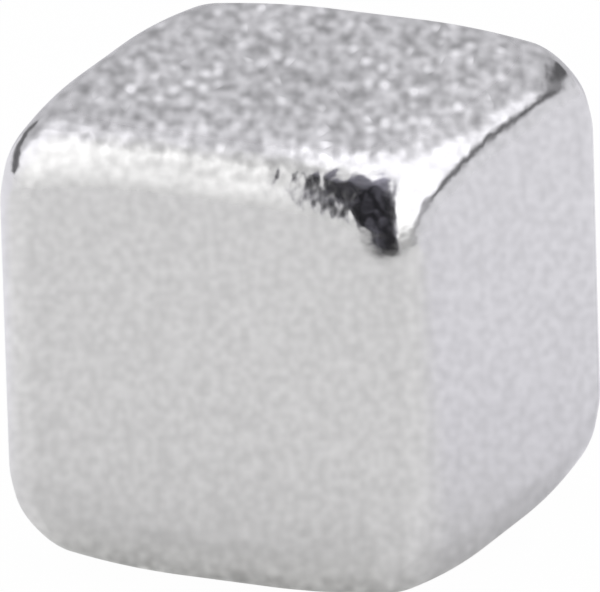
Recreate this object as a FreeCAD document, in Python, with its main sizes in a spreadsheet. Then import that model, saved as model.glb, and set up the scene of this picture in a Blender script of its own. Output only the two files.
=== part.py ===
# Block magnet: one sintered block in a satin nickel finish.
# Tumbling has rounded its twelve edges, and its eight corners a little more.
# Millimetres. +Z runs through the two pole faces, and the block rests on the lower one.
import FreeCAD
import Part
import os

NODE = "magnet_block"

DIMENSIONS = {
    "block_length": 5.0,  # side along X
    "block_width": 5.0,  # side along Y
    "block_height": 5.0,  # side along Z, from pole face to pole face
    "edge_radius": 0.7,  # round of an edge over its middle
    "corner_radius": 0.9,  # round of a corner, which is part of a ball
    "corner_land": 0.1,  # run of edge beside the ball that keeps its radius, and is above zero
    "easing_length": 0.6,  # run of edge over which its round eases to the edge radius
}

doc = FreeCAD.newDocument("BlockMagnet")


# Spreadsheet

def make_sheet(values):
    """Put each driving dimension in a cell whose alias is its name."""
    sheet = doc.addObject("Spreadsheet::Sheet", "Dimensions")
    for row, (name, value) in enumerate(values.items(), 1):
        sheet.set(f"A{row}", name)
        sheet.set(f"B{row}", str(value))
        sheet.setAlias(f"B{row}", name)
    doc.recompute()
    return sheet


dimensions = make_sheet(DIMENSIONS)


# Blank

def add_box(name, sides, base):
    """Add a box whose three sides and three base coordinates are bound to expressions."""
    box = doc.addObject("Part::Box", name)
    for side, expression in zip(("Length", "Width", "Height"), sides):
        box.setExpression(side, expression)
    for axis, expression in zip("xyz", base):
        box.setExpression(f"Placement.Base.{axis}", expression)
    return box


def add_corner_boxes(name, reach):
    """Add a cube of side `reach` inside each corner of the blank.

    Fused with the blank, the cubes leave its form alone and put a point on each edge
    at that distance from the corner, where the round of the edge can change.
    """
    x_bases = ("-Dimensions.block_length / 2", f"Dimensions.block_length / 2 - ({reach})")
    y_bases = ("-Dimensions.block_width / 2", f"Dimensions.block_width / 2 - ({reach})")
    z_bases = ("0 mm", f"Dimensions.block_height - ({reach})")
    return [
        add_box(f"{name}{i}{j}{k}", (reach, reach, reach), (x, y, z))
        for i, x in enumerate(x_bases)
        for j, y in enumerate(y_bases)
        for k, z in enumerate(z_bases)
    ]


def make_blank():
    """The sharp block, with a point on its edges at both ends of each easing run."""
    block = add_box(
        "Block",
        ("Dimensions.block_length", "Dimensions.block_width", "Dimensions.block_height"),
        ("-Dimensions.block_length / 2", "-Dimensions.block_width / 2", "0 mm"),
    )
    land_end = "Dimensions.corner_radius + Dimensions.corner_land"
    easing_end = f"{land_end} + Dimensions.easing_length"
    blank = doc.addObject("Part::MultiFuse", "Blank")
    blank.Shapes = [
        block,
        *add_corner_boxes("LandEnd", land_end),
        *add_corner_boxes("EasingEnd", easing_end),
    ]
    blank.Refine = False
    doc.recompute()
    return blank


# Tumbled edges and corners

def round_at(distance):
    """Radius of an edge's round at a distance from its nearer corner."""
    past_land = distance - dimensions.corner_radius - dimensions.corner_land
    share = min(max(past_land / dimensions.easing_length, 0.0), 1.0)
    ease = share * share * (3 - 2 * share)
    return dimensions.corner_radius + (dimensions.edge_radius - dimensions.corner_radius) * ease


def is_sharp(edge, shape):
    """True where the faces on both sides of an edge are square to each other."""
    one_side, other_side = shape.ancestorsOfType(edge, Part.Face)
    return abs(one_side.normalAt(0, 0).dot(other_side.normalAt(0, 0))) < 0.5


def sharp_edges(shape):
    """Yield each sharp edge piece: its number and the rounds at its first and last point."""
    box = shape.BoundBox
    low = (box.XMin, box.YMin, box.ZMin)
    high = (box.XMax, box.YMax, box.ZMax)
    for number, edge in enumerate(shape.Edges, 1):
        if is_sharp(edge, shape):
            ends = (edge.firstVertex().Point, edge.lastVertex().Point)
            run = ends[1] - ends[0]
            axis = max(range(3), key=lambda a: abs(run[a]))
            rounds = [round_at(min(p[axis] - low[axis], high[axis] - p[axis])) for p in ends]
            yield number, *rounds


def make_magnet(blank):
    """Round every edge of the blank, and merge the pieces of each flat face."""
    tumbled = doc.addObject("Part::Fillet", "Tumbled")
    tumbled.Base = blank
    tumbled.Edges = list(sharp_edges(blank.Shape))
    magnet = doc.addObject("Part::Refine", "Magnet")
    magnet.Source = tumbled
    magnet.Label = NODE
    magnet.Placement = FreeCAD.Placement()
    doc.recompute()
    return magnet


# Tests and output

def check_document():
    """Stop before anything is written if an object failed or holds no sound shape."""
    for item in doc.Objects:
        if "Invalid" in item.State or "Error" in item.State:
            raise RuntimeError(f"{item.Label} is {item.State}")
        shape = getattr(item, "Shape", None)
        if shape is not None and (shape.isNull() or not shape.isValid()):
            raise RuntimeError(f"{item.Label} has no valid shape")


def write_part(part):
    """Write the sub-part as one solid, under the name of its label."""
    if len(part.Shape.Solids) != 1:
        raise RuntimeError(f"{part.Label} holds {len(part.Shape.Solids)} solids")
    os.makedirs("parts", exist_ok=True)
    part.Shape.exportStep(f"parts/{part.Label}.step")


magnet = make_magnet(make_blank())
check_document()
write_part(magnet)
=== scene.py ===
import math
from collections import namedtuple

import bpy
from mathutils import Matrix, Vector


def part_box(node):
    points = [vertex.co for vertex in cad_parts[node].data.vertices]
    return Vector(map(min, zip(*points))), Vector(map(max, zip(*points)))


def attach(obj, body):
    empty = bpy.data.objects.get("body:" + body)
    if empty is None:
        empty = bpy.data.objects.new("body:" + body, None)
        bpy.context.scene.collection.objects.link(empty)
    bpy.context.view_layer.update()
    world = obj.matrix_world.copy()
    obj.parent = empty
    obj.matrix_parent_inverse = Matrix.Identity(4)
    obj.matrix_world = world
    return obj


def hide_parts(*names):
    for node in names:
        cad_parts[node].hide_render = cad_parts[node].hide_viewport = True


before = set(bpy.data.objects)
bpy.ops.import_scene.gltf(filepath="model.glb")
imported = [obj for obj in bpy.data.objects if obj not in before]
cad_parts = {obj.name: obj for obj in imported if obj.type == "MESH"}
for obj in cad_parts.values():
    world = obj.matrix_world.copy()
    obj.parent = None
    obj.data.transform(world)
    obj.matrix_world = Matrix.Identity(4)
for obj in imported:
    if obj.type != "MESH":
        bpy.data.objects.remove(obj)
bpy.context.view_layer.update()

NODE = "magnet_block"
SLOT = "nickel_plate"

MILLIMETRE = 0.001
MICRON = 0.000001


# Node trees

class Value:
    """One output of a node. Arithmetic on it adds Math nodes to its tree."""

    def __init__(self, graph, socket):
        self.graph = graph
        self.socket = socket

    def math(self, operation, *others):
        inputs = dict(enumerate((self, *others)))
        return self.graph.add("ShaderNodeMath", {"operation": operation}, inputs)[0]

    def __add__(self, other):
        return self.math("ADD", other)

    def __sub__(self, other):
        return self.math("SUBTRACT", other)

    def __mul__(self, other):
        return self.math("MULTIPLY", other)

    def __truediv__(self, other):
        return self.math("DIVIDE", other)

    def __rsub__(self, other):
        return self.graph.constant(other) - self

    def __rtruediv__(self, other):
        return self.graph.constant(other) / self

    def __neg__(self):
        return self * -1

    __radd__ = __add__
    __rmul__ = __mul__


class Node:
    """A node whose outputs are read by name or number."""

    def __init__(self, graph, node):
        self.graph = graph
        self.node = node

    def __getitem__(self, key):
        return Value(self.graph, self.node.outputs[key])


class Graph:
    """Builds one node tree."""

    def __init__(self, tree):
        self.tree = tree
        tree.nodes.clear()

    def add(self, kind, settings=None, inputs=None):
        """Add a node: its settings first, then a value or a link for each input."""
        node = self.tree.nodes.new(kind)
        for name, setting in (settings or {}).items():
            setattr(node, name, setting)
        for key, given in (inputs or {}).items():
            if isinstance(given, Value):
                self.tree.links.new(given.socket, node.inputs[key])
            else:
                node.inputs[key].default_value = given
        return Node(self, node)

    def constant(self, number):
        """A plain number as the first term of an expression."""
        return self.add("ShaderNodeMath", {"operation": "ADD"}, {0: number, 1: 0.0})[0]

    def vector(self, operation, *terms):
        """Vector Math on links, and on plain vectors as tuples."""
        terms = dict(enumerate(terms))
        return self.add("ShaderNodeVectorMath", {"operation": operation}, terms)[0]

    def scaled(self, vector, factor):
        """A vector or a colour times one number."""
        inputs = {0: vector, "Scale": factor}
        return self.add("ShaderNodeVectorMath", {"operation": "SCALE"}, inputs)[0]

    def split(self, vector):
        """The parts of a vector, read as X, Y and Z."""
        return self.add("ShaderNodeSeparateXYZ", inputs={0: vector})

    def ease(self, value, low, high):
        """A smooth step from 0 at `low` to 1 at `high`."""
        settings = {"interpolation_type": "SMOOTHSTEP"}
        inputs = {"Value": value, "From Min": low, "From Max": high}
        return self.add("ShaderNodeMapRange", settings, inputs)["Result"]

    def window(self, value, low, high, soft):
        """1 between two limits and 0 outside them, over soft edges."""
        rise = self.ease(value, low - soft, low + soft)
        return rise * (1 - self.ease(value, high - soft, high + soft))

    def noise(self, place, pitch, detail):
        """Smooth noise about 0.5, with a given pitch."""
        inputs = {"Vector": place, "Scale": 1 / pitch, "Detail": detail, "Roughness": 0.5}
        return self.add("ShaderNodeTexNoise", {"noise_dimensions": "3D"}, inputs)[0]

    def tint(self, base, top, mask):
        """The colour `base`, turning to `top` where the mask is 1."""
        inputs = {"Factor": mask, 6: base, 7: top}
        return self.add("ShaderNodeMix", {"data_type": "RGBA"}, inputs)[2]

    def cover(self, base, top, mask):
        """The shader `base`, turning to `top` where the mask is 1."""
        return self.add("ShaderNodeMixShader", inputs={0: mask, 1: base, 2: top})[0]


def blend(base, top, mask):
    """The value `base`, turning to `top` where the mask is 1."""
    return mask * (top - base) + base


def bearing(right, forward):
    """The angle of a direction in degrees: 0 straight forward, and growing to the right."""
    return right.math("ARCTAN2", forward) * math.degrees(1)


def past_back(azimuth):
    """The same angle, counted on past 180 so that it has no break straight behind."""
    return azimuth + azimuth.math("LESS_THAN", -90) * 360


# Block

# A round on all its edges, and the wear that takes off more towards each corner.
# It reaches further along the pole faces than along the height, where it sets in gently over the
# share WEAR_START of its reach.
EDGE_RADIUS = 0.70 * MILLIMETRE
WEAR_DEPTH = 0.393 * MILLIMETRE
WEAR_REACH = (2.0 * MILLIMETRE, 2.0 * MILLIMETRE, 1.08 * MILLIMETRE)
WEAR_START = 0.2

# Mesh of the block, and the shallow waves that tumbling leaves on it
GRID_POINTS = 129
WAVE_PITCH = 0.5 * MILLIMETRE
WAVE_DEPTH = 1.5 * MICRON
WAVE_DETAIL = 2.0


def rounded_block_tree():
    """A node tree for a box with round edges that are worn down towards its corners."""
    tree = bpy.data.node_groups.new("rounded_block", "GeometryNodeTree")
    graph = Graph(tree)
    sizes = (
        ("Size", "NodeSocketVector"),
        ("Edge Radius", "NodeSocketFloat"),
        ("Wear Depth", "NodeSocketFloat"),
        ("Wear Reach", "NodeSocketVector"),
        ("Wear Start", "NodeSocketFloat"),
        ("Grid Points", "NodeSocketInt"),
        ("Wave Pitch", "NodeSocketFloat"),
        ("Wave Depth", "NodeSocketFloat"),
        ("Finish", "NodeSocketMaterial"),
    )
    for name, kind in sizes:
        tree.interface.new_socket(name, in_out="INPUT", socket_type=kind)
    tree.interface.new_socket("Block", in_out="OUTPUT", socket_type="NodeSocketGeometry")
    given = graph.add("NodeGroupInput")

    counts = {f"Vertices {axis}": given["Grid Points"] for axis in "XYZ"}
    cube = graph.add("GeometryNodeMeshCube", inputs={"Size": given["Size"], **counts})["Mesh"]
    place = graph.add("GeometryNodeInputPosition")["Position"]
    half = graph.vector("MULTIPLY", given["Size"], (0.5, 0.5, 0.5))

    # A ball of the edges' radius is rolled over the core that it leaves
    radius = {axis: given["Edge Radius"] for axis in "XYZ"}
    ball = graph.add("ShaderNodeCombineXYZ", inputs=radius)[0]
    core = graph.vector("SUBTRACT", half, ball)
    core_point = graph.vector("MINIMUM", place, core)
    core_point = graph.vector("MAXIMUM", core_point, graph.vector("MULTIPLY", core, (-1, -1, -1)))
    outward = graph.vector("NORMALIZE", graph.vector("SUBTRACT", place, core_point))
    surface = graph.vector("ADD", core_point, graph.vector("MULTIPLY", outward, ball))

    # Closeness to the three walls at a corner: 1 at a wall, and 0 where the reach of the wear ends
    inside = graph.vector("SUBTRACT", half, graph.vector("ABSOLUTE", surface))
    close = graph.vector("SUBTRACT", (1, 1, 1), graph.vector("DIVIDE", inside, given["Wear Reach"]))
    close = graph.split(graph.vector("MAXIMUM", close, (0, 0, 0)))
    across = (close["X"] * close["Y"]).math("POWER", 2)
    start = given["Wear Start"]
    along = (close["Z"] * close["Z"] + start * start).math("SQRT") - start
    along = along / ((start * start + 1).math("SQRT") - start)
    wear = given["Wear Depth"] * across * along

    # The wear and the waves go inwards from the true form
    wave = graph.noise(surface, given["Wave Pitch"], WAVE_DETAIL)
    inward = -(given["Wave Depth"] * wave + wear)
    surface = graph.vector("ADD", surface, graph.scaled(outward, inward))
    lift = graph.vector("MULTIPLY", half, (0, 0, 1))

    moved = {"Geometry": cube, "Position": graph.vector("ADD", surface, lift)}
    shaped = graph.add("GeometryNodeSetPosition", inputs=moved)[0]
    smooth = graph.add("GeometryNodeSetShadeSmooth", inputs={0: shaped})[0]
    real = graph.add("GeometryNodeRealizeInstances", inputs={0: smooth})[0]
    dressed = {"Geometry": real, "Material": given["Finish"]}
    finished = graph.add("GeometryNodeSetMaterial", inputs=dressed)[0]
    graph.add("NodeGroupOutput", inputs={0: finished})
    return tree


def set_inputs(modifier, values):
    """Set a modifier's inputs through the identifiers of their sockets."""
    items = modifier.node_group.interface.items_tree
    sockets = {item.name: item for item in items if item.in_out == "INPUT"}
    for name, value in values.items():
        modifier[sockets[name].identifier] = value


def make_block(finish):
    """The tumbled block as one plain mesh, in the place of its solid."""
    low, high = (Vector(corner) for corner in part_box(NODE))
    maker = bpy.data.objects.new("block_maker", bpy.data.meshes.new("block_maker"))
    bpy.context.scene.collection.objects.link(maker)
    modifier = maker.modifiers.new("rounded_block", "NODES")
    modifier.node_group = rounded_block_tree()
    set_inputs(modifier, {
        "Size": tuple(high - low),
        "Edge Radius": EDGE_RADIUS,
        "Wear Depth": WEAR_DEPTH,
        "Wear Reach": WEAR_REACH,
        "Wear Start": WEAR_START,
        "Grid Points": GRID_POINTS,
        "Wave Pitch": WAVE_PITCH,
        "Wave Depth": WAVE_DEPTH,
        "Finish": finish,
    })
    evaluated = maker.evaluated_get(bpy.context.evaluated_depsgraph_get())
    mesh = bpy.data.meshes.new_from_object(evaluated)
    bpy.data.objects.remove(maker)
    block = bpy.data.objects.new("tumbled_block", mesh)
    bpy.context.scene.collection.objects.link(block)
    return block


# Finish

NICKEL = (0.698, 0.695, 0.698)
SIDE_ROUGHNESS = 0.14
FLAT_ROUGHNESS = 0.42

# One grain: its pitch, its detail, and the shift that keeps it unlike the others
Grain = namedtuple("Grain", "pitch detail shift")
SIDE_RELIEF = Grain(100 * MICRON, 0.5, (0, 0, 0))
SIDE_TONE = Grain(100 * MICRON, 0.3, (0.01, 0.02, 0.03))
POLE_RELIEF = Grain(118 * MICRON, 0.3, (0.03, 0.01, 0.02))
POLE_TONE_AND_GLINTS = Grain(118 * MICRON, 0.3, (0.02, 0.03, 0.01))
RIM_RELIEF = Grain(150 * MICRON, 0.5, (0.061, 0.018, 0.003))

SIDE_RELIEF_DEPTH = 2.6 * MICRON
POLE_RELIEF_DEPTH = 6 * MICRON
RIM_RELIEF_DEPTH = 11.5 * MICRON
SIDE_TONE_SPREAD = 0.28
# The pole tone grain is partly real tone and partly painted glints and painted shade of the grain;
# on the rims it is partly real tone and partly painted mottled shade
POLE_TONE_AND_GLINT_SPREAD = 1.0
RIM_TONE_AND_SHADE_SPREAD = 0.55
# A painted shade: the colour of the pole faces made darker overall
POLE_PAINTED_SHADE = 0.185
BRIGHTEST = 1.41

# Painted glints on the pole faces: round bright spots in their colour, one in each cell of a
# pattern, and brighter in some cells. Radius and softness are shares of the pitch.
SPOT_PITCH = 155 * MICRON
SPOT_SOFTNESS = 0.3
SPOT_RADIUS = 0.6
SPOT_CHANCE = (0.35, 1.0)
PAINTED_GLINT_BRIGHTNESS = 0.6

# The grain is drawn out along one direction
LAY_TILT = math.radians(-19.6)
LAY_TURN = math.radians(25.5)
LAY_STRETCH = 4.5

# Depths below the nearer pole face over which its finish turns into that of the sides
FLAT_END = (0, 0.15 * EDGE_RADIUS)
POLE_END = (0, 0.5 * EDGE_RADIUS)
COARSE_END = (0.3 * EDGE_RADIUS, EDGE_RADIUS)

# The rims have a coarser relief. It reaches further down at the corners, and the +X side is worn.
RIM_SOFTNESS = 0.15 * EDGE_RADIUS
RIM_REACH = 0.5 * EDGE_RADIUS
CORNER_RIM_GAIN = 0.7 * EDGE_RADIUS
CORNER_START = (1.2 * MILLIMETRE, 2.2 * MILLIMETRE)
WORN_SIDE_START = (1.8 * MILLIMETRE, 2.25 * MILLIMETRE)
WORN_SIDE_LOSS = 0.6


def grain(graph, lay, kind):
    """The noise of one grain, about 0."""
    return graph.noise(graph.vector("ADD", lay, kind.shift), kind.pitch, kind.detail) - 0.5


def rim_mask(graph, place, below):
    """1 on the two rims, from the edge of the flat face down to the sides."""
    inwards = place["X"].math("ABSOLUTE").math("MINIMUM", place["Y"].math("ABSOLUTE"))
    end = graph.ease(inwards, *CORNER_START) * CORNER_RIM_GAIN + RIM_REACH
    start = graph.ease(below, 0, RIM_SOFTNESS)
    mask = start * (1 - graph.ease(below, end - RIM_SOFTNESS, end + RIM_SOFTNESS))
    return mask * (1 - graph.ease(place["X"], *WORN_SIDE_START) * WORN_SIDE_LOSS)


def painted_glint_spots(graph, lay):
    """Painted glints: round bright spots, each in one cell of a pattern and with a
    brightness of its own.
    """
    cells = graph.add(
        "ShaderNodeTexVoronoi",
        {"voronoi_dimensions": "3D", "feature": "SMOOTH_F1"},
        {"Vector": lay, "Scale": 1 / SPOT_PITCH, "Smoothness": SPOT_SOFTNESS, "Randomness": 1.0},
    )
    chance = graph.split(cells["Color"])["X"]
    return (1 - graph.ease(cells["Distance"], 0, SPOT_RADIUS)) * graph.ease(chance, *SPOT_CHANCE)


def nickel_plate(height):
    """Satin nickel over a fine grain.

    The grain is coarser on the two ground pole faces and their rims, and the flats of these
    faces are rougher than the sides. Their colour also carries painted glints and painted shade.
    """
    material = bpy.data.materials.new(SLOT)
    material.use_nodes = True
    graph = Graph(material.node_tree)
    position = graph.add("ShaderNodeTexCoord")["Object"]
    place = graph.split(position)
    below = height / 2 - (place["Z"] - height / 2).math("ABSOLUTE")
    flat = 1 - graph.ease(below, *FLAT_END)
    pole = 1 - graph.ease(below, *POLE_END)
    coarse = 1 - graph.ease(below, *COARSE_END)
    rim = rim_mask(graph, place, below)

    turn = (LAY_TILT, 0, LAY_TURN)
    lay = graph.add(
        "ShaderNodeMapping",
        {"vector_type": "TEXTURE"},
        {"Vector": position, "Rotation": turn, "Scale": (1, LAY_STRETCH, 1)},
    )[0]
    relief = grain(graph, lay, SIDE_RELIEF) * SIDE_RELIEF_DEPTH
    relief = relief + grain(graph, lay, POLE_RELIEF) * pole * POLE_RELIEF_DEPTH
    relief = relief + grain(graph, lay, RIM_RELIEF) * rim * RIM_RELIEF_DEPTH
    bump = {"Strength": 1.0, "Distance": 1.0, "Height": relief}
    normal = graph.add("ShaderNodeBump", inputs=bump)[0]

    tone_and_painted_light = 1 + grain(graph, lay, SIDE_TONE) * SIDE_TONE_SPREAD
    spread = blend(RIM_TONE_AND_SHADE_SPREAD, POLE_TONE_AND_GLINT_SPREAD, pole)
    # Partly real tone, partly painted glints and painted shade of the grain on the poles and rims
    tone_and_painted_light = tone_and_painted_light + grain(graph, lay, POLE_TONE_AND_GLINTS) * coarse * spread
    # Painted glints on the pole faces, and a painted shade that darkens their colour
    tone_and_painted_light = tone_and_painted_light + (painted_glint_spots(graph, lay) * PAINTED_GLINT_BRIGHTNESS - POLE_PAINTED_SHADE) * pole
    tone_and_painted_light = tone_and_painted_light.math("MINIMUM", BRIGHTEST)

    shader = graph.add("ShaderNodeBsdfPrincipled", inputs={
        "Base Color": graph.scaled(NICKEL, tone_and_painted_light),
        "Metallic": 1.0,
        "Roughness": blend(SIDE_ROUGHNESS, FLAT_ROUGHNESS, flat),
        "Normal": normal,
    })["BSDF"]
    graph.add("ShaderNodeOutputMaterial", inputs={"Surface": shader})
    return material


# Light tent

# Brightness is 1 at white, and angles are in degrees. A range with two numbers is where a mask
# eases from 0 to 1. One with three is a mask's two limits, and their softness.

NEUTRAL = (1.0, 0.998, 0.992, 1.0)
COOL = (0.985, 0.978, 1.022, 1.0)
DUSK = (1.0, 0.975, 1.17, 1.0)
WHITE = (1.0, 1.0, 1.0, 1.0)
COOL_AT_BACK = (-0.4, 0.2)

# Middle line of the dark gap on the right: it climbs, sinks again, and dips near its far end
GAP_HEIGHT = 1
GAP_CLIMB_RANGE = (74, 110)
GAP_CLIMB = 17
GAP_SINK_RANGE = (112, 138)
GAP_SINK = 6
GAP_DIP_RANGE = (156, 163, 3)
GAP_DIP = 4.5


class Sky:
    """A direction in the light tent: azimuth is 0 towards -Y and grows towards +X."""

    def __init__(self, graph):
        self.graph = graph
        self.place = graph.add("ShaderNodeTexCoord")["Generated"]
        direction = graph.split(self.place)
        self.right, self.back = direction["X"], direction["Y"]
        self.elevation = direction["Z"].math("ARCSINE") * math.degrees(1)
        self.azimuth = bearing(self.right, -self.back)
        self.past_back = past_back(self.azimuth)
        line = GAP_HEIGHT + self.right_of(*GAP_CLIMB_RANGE) * GAP_CLIMB
        line = line - self.right_of(*GAP_SINK_RANGE) * GAP_SINK
        self.above_gap = self.elevation - line + self.sector(*GAP_DIP_RANGE) * GAP_DIP

    def above(self, low, high):
        """1 above an elevation, and easing from `low` to `high`."""
        return self.graph.ease(self.elevation, low, high)

    def right_of(self, low, high):
        """1 past an azimuth, and easing from `low` to `high`."""
        return self.graph.ease(self.azimuth, low, high)

    def band(self, low, high, soft):
        """1 between two elevations."""
        return self.graph.window(self.elevation, low, high, soft)

    def sector(self, low, high, soft):
        """1 between two azimuths."""
        return self.graph.window(self.azimuth, low, high, soft)

    def back_sector(self, low, high, soft):
        """1 between two azimuths that are counted on past 180."""
        return self.graph.window(self.past_back, low, high, soft)


SWEEP = 0.88
SWEEP_AHEAD_START = (-16, 4)
SWEEP_AHEAD_END = (50, 80)
SWEEP_AHEAD_RISE = (-14, -3)
SWEEP_AHEAD_LOSS = 0.25

WALL_FOOT = 0.66
WALL_MIDDLE = 0.76
WALL_TOP = 1.0
WALL_MIDDLE_RISE = (8, 18)
WALL_TOP_RISE = (24, 38)
WALL_PLAIN_SECTOR = (186, 236, 6)
WALL_START = -0.5
WALL_START_EDGE = (0, 3)
WALL_LOW_SECTOR = (178, 228, 5)
WALL_LOW_DROP = 4.5
WALL_OVER_GAP_SECTOR = (40, 168, 5)
WALL_OVER_GAP_EDGE = (-1, 2)


def sweep_and_walls(sky):
    """The sweep and the walls over it.

    The sweep is dimmer ahead, runs up to the gap on the right and ends lowest behind. The walls
    are brighter towards their top, apart from a plain stretch at the back.
    """
    wall = WALL_FOOT + sky.above(*WALL_MIDDLE_RISE) * (WALL_MIDDLE - WALL_FOOT)
    plain = sky.back_sector(*WALL_PLAIN_SECTOR)
    wall = wall + sky.above(*WALL_TOP_RISE) * (1 - plain) * (WALL_TOP - WALL_MIDDLE)
    start = WALL_START - sky.back_sector(*WALL_LOW_SECTOR) * WALL_LOW_DROP
    on_wall = sky.graph.ease(sky.elevation - start, *WALL_START_EDGE)
    over_gap = sky.graph.ease(sky.above_gap, *WALL_OVER_GAP_EDGE)
    on_wall = blend(on_wall, over_gap, sky.back_sector(*WALL_OVER_GAP_SECTOR))
    ahead = sky.right_of(*SWEEP_AHEAD_START) * (1 - sky.right_of(*SWEEP_AHEAD_END))
    ahead = ahead * sky.above(*SWEEP_AHEAD_RISE)
    return blend(SWEEP - ahead * SWEEP_AHEAD_LOSS, wall, on_wall)


LEFT_BOX = 1.24
LEFT_BOX_SECTOR = (-105, -12, 3)
LEFT_BOX_BAND = (-6, 57, 3)
LEFT_BOX_RISE = (-4, 28)
LEFT_FAR_END = (-50, -36)
LEFT_FAR_RISE = (-8, 4)
LEFT_FAR_GAIN = 0.14
LEFT_NEAR_END = (-44, -28)
LEFT_NEAR_RISE = (26, 40)
LEFT_NEAR_LOSS = 0.14


def left_box(sky):
    """The light on the left: brighter upwards and at its far end, and dimmer near the opening."""
    level = SWEEP + (LEFT_BOX - SWEEP) * sky.above(*LEFT_BOX_RISE)
    far = (1 - sky.right_of(*LEFT_FAR_END)) * sky.above(*LEFT_FAR_RISE)
    near = sky.right_of(*LEFT_NEAR_END) * sky.above(*LEFT_NEAR_RISE)
    level = level + far * LEFT_FAR_GAIN - near * LEFT_NEAR_LOSS
    return level, sky.sector(*LEFT_BOX_SECTOR) * sky.band(*LEFT_BOX_BAND)


RIGHT_BOX = 1.60
RIGHT_BOX_START = (38, 42)
RIGHT_BOX_END = (151, 163)
RIGHT_BOX_FOOT = (2, 7)
RIGHT_BOX_TOP = (56, 60)


def right_box(sky):
    """The brighter light on the right, above the gap."""
    mask = sky.right_of(*RIGHT_BOX_START) * (1 - sky.right_of(*RIGHT_BOX_END))
    mask = mask * sky.graph.ease(sky.above_gap, *RIGHT_BOX_FOOT)
    return RIGHT_BOX, mask * (1 - sky.above(*RIGHT_BOX_TOP))


GAP = 0.08
PALE_GAP = 0.5
GAP_DARK_FROM = (116, 140)
GAP_SECTOR = (50, 180, 4)
GAP_EDGE = (-2, 2)
GAP_HALF_WIDTH = 2.5
GAP_WIDE_SECTOR = (80, 120, 7)
GAP_WIDE_GAIN = 2.5
GAP_END_FROM = (162, 168)
GAP_END_GAIN = 1.2


def right_gap(sky):
    """The dark gap under the right light, which is pale at its near end."""
    half_width = GAP_HALF_WIDTH + sky.right_of(*GAP_END_FROM) * GAP_END_GAIN
    half_width = half_width + sky.sector(*GAP_WIDE_SECTOR) * GAP_WIDE_GAIN
    outside = sky.graph.ease(sky.above_gap.math("ABSOLUTE") - half_width, *GAP_EDGE)
    level = blend(PALE_GAP, GAP, sky.right_of(*GAP_DARK_FROM))
    return level, sky.back_sector(*GAP_SECTOR) * (1 - outside)


FAR_GAP = 0.16
FAR_GAP_SECTOR = (-133, -92, 4)
FAR_GAP_BAND = (1, 11, 2)


def far_gap(sky):
    """A dark gap low at the back left."""
    return FAR_GAP, sky.sector(*FAR_GAP_SECTOR) * sky.band(*FAR_GAP_BAND)


ROOF = 1.1
ROOF_START = (54, 60)
ROOF_AHEAD_RISE = (58, 68)
ROOF_AHEAD_LOSS = 1.1
ROOF_BACK_RISE = (60, 70)
ROOF_BACK_SECTOR = (132, 226, 8)
ROOF_BACK_GAIN = 0.45
ROOF_OVERHEAD_RISE = (68, 84)
ROOF_OVERHEAD_GAIN = 0.7


def roof(sky):
    """The roof: dimmer towards the opening, and brighter overhead and at the back."""
    level = sky.back.math("MINIMUM", 0) * sky.above(*ROOF_AHEAD_RISE) * ROOF_AHEAD_LOSS + ROOF
    back = sky.above(*ROOF_BACK_RISE) * sky.back_sector(*ROOF_BACK_SECTOR)
    level = level + back * ROOF_BACK_GAIN + sky.above(*ROOF_OVERHEAD_RISE) * ROOF_OVERHEAD_GAIN
    return level, sky.above(*ROOF_START)


SLOPE = 1.6
SLOPE_RISE = (36, 50)
SLOPE_RIGHTWARDS = (-0.32, -0.24)
SLOPE_BACKWARDS = (0.05, 0.25)


def roof_slope(sky):
    """The bright slope of the roof behind the block, which comes further down."""
    mask = sky.above(*SLOPE_RISE) * sky.graph.ease(sky.right, *SLOPE_RIGHTWARDS)
    return SLOPE, mask * sky.graph.ease(sky.back, *SLOPE_BACKWARDS)


OPENING = 0.015
OPENING_GREY = 0.18
OPENING_GREY_RISE = (58, 68)
OPENING_GREY_CORNER = 0.22
OPENING_GREY_CORNER_RISE = (50, 58)
OPENING_GREY_CORNER_FROM = (40, 66)

# Noise that makes the pale shapes, and the part of its range over which they show
SHAPES = 0.105
SHAPES_PITCH = 0.17
SHAPES_DETAIL = 1.0
SHAPES_RANGE = (0.45, 0.75)

# The left side leans out by the square of the height over a first one, and in below another
OPENING_LEFT = -18.2
OPENING_LEFT_LEAN = 0.0175
OPENING_LEFT_LEAN_FROM = 32
OPENING_LEFT_LEAN_RUN = 28
OPENING_LEFT_TUCK = 0.2
OPENING_LEFT_TUCK_BELOW = 28
OPENING_LEFT_EDGE = (-2, 1)

# The right side leans out evenly, and has a shoulder near its top
OPENING_RIGHT = 54
OPENING_RIGHT_LEAN = 0.5
OPENING_RIGHT_LEAN_FROM = 20
OPENING_SHOULDER = 33
OPENING_SHOULDER_RISE = (54, 64)
OPENING_RIGHT_EDGE = (-2, 2)

OPENING_FOOT = 1.2
OPENING_FOOT_DROP = 4.6
OPENING_FOOT_DROP_RANGE = (6, 30)
OPENING_FOOT_EDGE = (-1, 1)
OPENING_TOP_EDGE = (74, 82)
OPENING_BACK_EDGE = (-0.05, 0.06)


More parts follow.
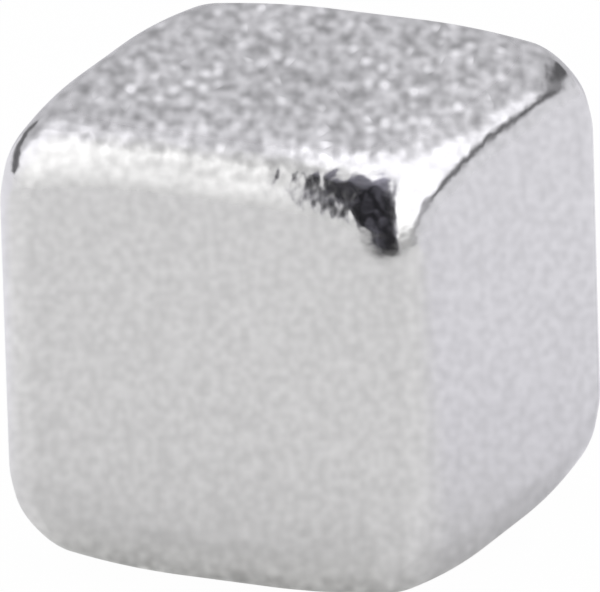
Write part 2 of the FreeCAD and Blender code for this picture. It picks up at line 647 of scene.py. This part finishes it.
def opening(sky):
    """The dark opening in front, grey at its top, with pale shapes behind it."""
    lean = (sky.elevation - OPENING_LEFT_LEAN_FROM).math("MAXIMUM", 0)
    lean = lean.math("MINIMUM", OPENING_LEFT_LEAN_RUN)
    tuck = (OPENING_LEFT_TUCK_BELOW - sky.elevation).math("MAXIMUM", 0)
    left_side = OPENING_LEFT - lean * lean * OPENING_LEFT_LEAN + tuck * OPENING_LEFT_TUCK
    lean = (sky.elevation - OPENING_RIGHT_LEAN_FROM).math("MAXIMUM", 0)
    right_side = OPENING_RIGHT + lean * OPENING_RIGHT_LEAN
    right_side = right_side + sky.above(*OPENING_SHOULDER_RISE) * OPENING_SHOULDER
    foot = OPENING_FOOT - sky.right_of(*OPENING_FOOT_DROP_RANGE) * OPENING_FOOT_DROP

    mask = sky.graph.ease(sky.azimuth - left_side, *OPENING_LEFT_EDGE)
    mask = mask * (1 - sky.graph.ease(sky.azimuth - right_side, *OPENING_RIGHT_EDGE))
    mask = mask * sky.graph.ease(sky.elevation - foot, *OPENING_FOOT_EDGE)
    mask = mask * (1 - sky.above(*OPENING_TOP_EDGE))
    mask = mask * (1 - sky.graph.ease(sky.back, *OPENING_BACK_EDGE))

    corner = sky.above(*OPENING_GREY_CORNER_RISE) * sky.right_of(*OPENING_GREY_CORNER_FROM)
    level = sky.above(*OPENING_GREY_RISE) * OPENING_GREY + corner * OPENING_GREY_CORNER
    shapes = sky.graph.noise(sky.place, SHAPES_PITCH, SHAPES_DETAIL)
    return level + sky.graph.ease(shapes, *SHAPES_RANGE) * SHAPES + OPENING, mask


def light_tent():
    """Light from all round, and plain white for the camera."""
    world = bpy.data.worlds.new("light_tent")
    world.use_nodes = True
    graph = Graph(world.node_tree)
    sky = Sky(graph)
    light = sweep_and_walls(sky)
    for part in (left_box, right_box, right_gap, far_gap, roof, roof_slope):
        light = blend(light, *part(sky))
    level, in_opening = opening(sky)
    light = blend(light, level, in_opening)

    colour = graph.tint(NEUTRAL, COOL, graph.ease(sky.back, *COOL_AT_BACK))
    colour = graph.tint(colour, DUSK, in_opening)
    tent = graph.add("ShaderNodeBackground", inputs={"Color": colour, "Strength": light})[0]
    white = graph.add("ShaderNodeBackground", inputs={"Color": WHITE, "Strength": 1.0})[0]
    seen = graph.add("ShaderNodeLightPath")["Is Camera Ray"]
    graph.add("ShaderNodeOutputWorld", inputs={"Surface": graph.cover(tent, white, seen)})
    bpy.context.scene.world = world


# Floor

# Painted colour casts of the floor: warm in front, and cool behind like the light from behind
PAINTED_WARM_CAST = (1.0, 1.0, 0.976, 1.0)
BLACK = (0.0, 0.0, 0.0, 1.0)
FLOOR_SIDE = 0.16
FLOOR_ALBEDO = 0.905
FLOOR_WHITE_SEEN = 0.985
FLOOR_PAINTED_COOL_CAST = 0.7
FLOOR_COOL_FROM = (-4 * MILLIMETRE, 4 * MILLIMETRE)

# Share of an even glow in what the metal sees of the floor away from the block, and a larger
# share at its foot: a painted glow that lightens the block's shadow there
FLOOR_REFLECTED = 0.22
FOOT_PAINTED_GLOW_SHARE = 0.36
FOOT_END = (2.6 * MILLIMETRE, 3.4 * MILLIMETRE)
FOOT_FRONT_END = (-2.0 * MILLIMETRE, -1.0 * MILLIMETRE)

# Bearings round the near right corner of the block, in degrees: the painted shade ahead, and
# faint painted sheen bands, lighter and darker, each with its limits, its softness and what it adds
NEAR_CORNER = 2.2 * MILLIMETRE
FLOOR_AHEAD_START = (-12, 22)
FLOOR_AHEAD_END = (38, 74)
FLOOR_AHEAD_DISTANCE = (8 * MILLIMETRE, 50 * MILLIMETRE)
FLOOR_AHEAD_PAINTED_SHADE = 0.8
FLOOR_PAINTED_SHEEN_BANDS = (
    (28, 48, 8, -0.03),
    (62, 82, 10, 0.04),
    (96, 112, 8, -0.05),
)

# Bearings round the middle of the block, for a painted shade behind it, and round its near left
# corner, for a painted light beside it
FLOOR_BACK_SECTOR = (178, 228, 5)
FLOOR_BACK_DISTANCE = (10 * MILLIMETRE, 30 * MILLIMETRE)
FLOOR_BACK_PAINTED_SHADE = 0.3
FLOOR_LEFT_SECTOR = (-130, -50, 12)
FLOOR_LEFT_PAINTED_LIGHT = 0.07

# Painted shadow close to the right face, and painted shade on the floor in front of the front face
RIGHT_STRIP = (2.1 * MILLIMETRE, 3.1 * MILLIMETRE, 0.3 * MILLIMETRE)
RIGHT_STRIP_START = (-2.4 * MILLIMETRE, -1.2 * MILLIMETRE)
RIGHT_STRIP_PAINTED_SHADOW = 0.12
FRONT_START = (2.2 * MILLIMETRE, 3.4 * MILLIMETRE)
FRONT_PAINTED_SHADE = 0.045


def add_stage(name, corners, material):
    """A flat four-sided piece of the studio."""
    mesh = bpy.data.meshes.new(name)
    mesh.from_pydata(corners, [], [(0, 1, 2, 3)])
    mesh.materials.append(material)
    piece = bpy.data.objects.new(name, mesh)
    bpy.context.scene.collection.objects.link(piece)


def painted_floor_shade_and_sheen(graph, place):
    """Painted shade, shadows, sheen and light in the tone of the floor round the block."""
    right, forward = place["X"] - NEAR_CORNER, -(place["Y"] + NEAR_CORNER)
    azimuth = bearing(right, forward)
    distance = (right * right + forward * forward).math("SQRT")
    ahead = graph.ease(azimuth, *FLOOR_AHEAD_START) * (1 - graph.ease(azimuth, *FLOOR_AHEAD_END))
    # Painted shade on the floor far ahead of the near right corner
    painted_floor_tone = 1 - ahead * graph.ease(distance, *FLOOR_AHEAD_DISTANCE) * FLOOR_AHEAD_PAINTED_SHADE
    # Painted sheen: faint lighter and darker bands on the floor
    for low, high, soft, change in FLOOR_PAINTED_SHEEN_BANDS:
        painted_floor_tone = painted_floor_tone + graph.window(azimuth, low, high, soft) * change

    # Painted shade on the floor behind the block
    azimuth = past_back(bearing(place["X"], -place["Y"]))
    back = graph.window(azimuth, *FLOOR_BACK_SECTOR) * graph.ease(distance, *FLOOR_BACK_DISTANCE)
    painted_floor_tone = painted_floor_tone - back * FLOOR_BACK_PAINTED_SHADE
    # Painted light on the floor beside the near left corner
    azimuth = bearing(place["X"] + NEAR_CORNER, forward)
    painted_floor_tone = painted_floor_tone + graph.window(azimuth, *FLOOR_LEFT_SECTOR) * FLOOR_LEFT_PAINTED_LIGHT

    # Painted shadow at the foot of the right face
    painted_shadow_strip = graph.window(place["X"], *RIGHT_STRIP) * graph.ease(place["Y"], *RIGHT_STRIP_START)
    painted_floor_tone = painted_floor_tone - painted_shadow_strip * RIGHT_STRIP_PAINTED_SHADOW
    # Painted shade on the floor in front of the block
    return painted_floor_tone - graph.ease(-place["Y"], *FRONT_START) * FRONT_PAINTED_SHADE


def pale_floor():
    """A pale floor: near white to the camera and in the metal, with the block's shadow on it, and
    painted shade, shadows, sheen, colour casts and a glow at the block's foot in its colour.
    """
    material = bpy.data.materials.new("pale_floor")
    material.use_nodes = True
    graph = Graph(material.node_tree)
    place = graph.split(graph.add("ShaderNodeTexCoord")["Object"])
    # Painted cool cast of the light from behind on the back of the floor, warm in front
    colour = graph.tint(PAINTED_WARM_CAST, COOL, graph.ease(place["Y"], *FLOOR_COOL_FROM) * FLOOR_PAINTED_COOL_CAST)
    colour = graph.scaled(colour, painted_floor_shade_and_sheen(graph, place))

    rough = {"Roughness": 1.0, "Specular IOR Level": 0.0}
    dull = {"Base Color": graph.scaled(colour, FLOOR_ALBEDO), **rough}
    matt = graph.add("ShaderNodeBsdfPrincipled", inputs=dull)[0]
    lit = {"Base Color": BLACK, "Emission Color": colour, "Emission Strength": 1.0, **rough}
    glow = graph.add("ShaderNodeBsdfPrincipled", inputs=lit)[0]
    white = graph.add("ShaderNodeEmission", inputs={"Strength": 1.0})[0]

    # Painted glow at the block's foot, which lightens its shadow in the metal
    away = place["X"].math("ABSOLUTE").math("MAXIMUM", place["Y"].math("ABSOLUTE"))
    foot = (1 - graph.ease(away, *FOOT_END)) * (1 - graph.ease(place["Y"], *FOOT_FRONT_END))
    path = graph.add("ShaderNodeLightPath")
    reflected = path["Is Glossy Ray"].math("MAXIMUM", path["Is Transmission Ray"])
    reflected = reflected * blend(FLOOR_REFLECTED, FOOT_PAINTED_GLOW_SHARE, foot)
    surface = graph.cover(matt, glow, reflected)
    surface = graph.cover(surface, white, path["Is Camera Ray"] * FLOOR_WHITE_SEEN)
    graph.add("ShaderNodeOutputMaterial", inputs={"Surface": surface})

    reach = FLOOR_SIDE / 2
    corners = [(-reach, -reach, 0), (reach, -reach, 0), (reach, reach, 0), (-reach, reach, 0)]
    add_stage("floor", corners, material)


# Camera

# A long lens, a little above the block and to its right
CAMERA_AZIMUTH = math.radians(25.50)
CAMERA_ELEVATION = math.radians(19.58)
CAMERA_ROLL = math.radians(1.757)
CAMERA_DISTANCE = 0.3
CAMERA_OFFSET_RIGHT = -0.0148 * MILLIMETRE
CAMERA_OFFSET_UP = 0.0058 * MILLIMETRE
CAMERA_NEAREST = 0.01
CAMERA_FURTHEST = 10
SENSOR_WIDTH = 36.0
LENS = 1724.9


def add_camera():
    """The camera's place and turn, from its angles round the middle of the block."""
    low, high = (Vector(corner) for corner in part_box(NODE))
    middle = (low + high) / 2
    sin_a, cos_a = math.sin(CAMERA_AZIMUTH), math.cos(CAMERA_AZIMUTH)
    sin_e, cos_e = math.sin(CAMERA_ELEVATION), math.cos(CAMERA_ELEVATION)
    back = Vector((sin_a * cos_e, -cos_a * cos_e, sin_e))
    level_right = Vector((cos_a, sin_a, 0))
    level_up = back.cross(level_right)
    right = level_right * math.cos(CAMERA_ROLL) - level_up * math.sin(CAMERA_ROLL)
    up = back.cross(right)
    place = middle + back * CAMERA_DISTANCE + right * CAMERA_OFFSET_RIGHT + up * CAMERA_OFFSET_UP

    data = bpy.data.cameras.new("camera")
    data.sensor_width = SENSOR_WIDTH
    data.lens = LENS
    data.clip_start = CAMERA_NEAREST
    data.clip_end = CAMERA_FURTHEST
    camera = bpy.data.objects.new("camera", data)
    turn = Matrix((right, up, back)).transposed()
    camera.matrix_world = Matrix.Translation(place) @ turn.to_4x4()
    bpy.context.scene.collection.objects.link(camera)
    bpy.context.scene.camera = camera


# Assembly

block_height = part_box(NODE)[1][2]
block = make_block(nickel_plate(block_height))
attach(block, "root")
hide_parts(NODE)

light_tent()
pale_floor()
add_camera()
bpy.context.scene.view_settings.view_transform = "Standard"
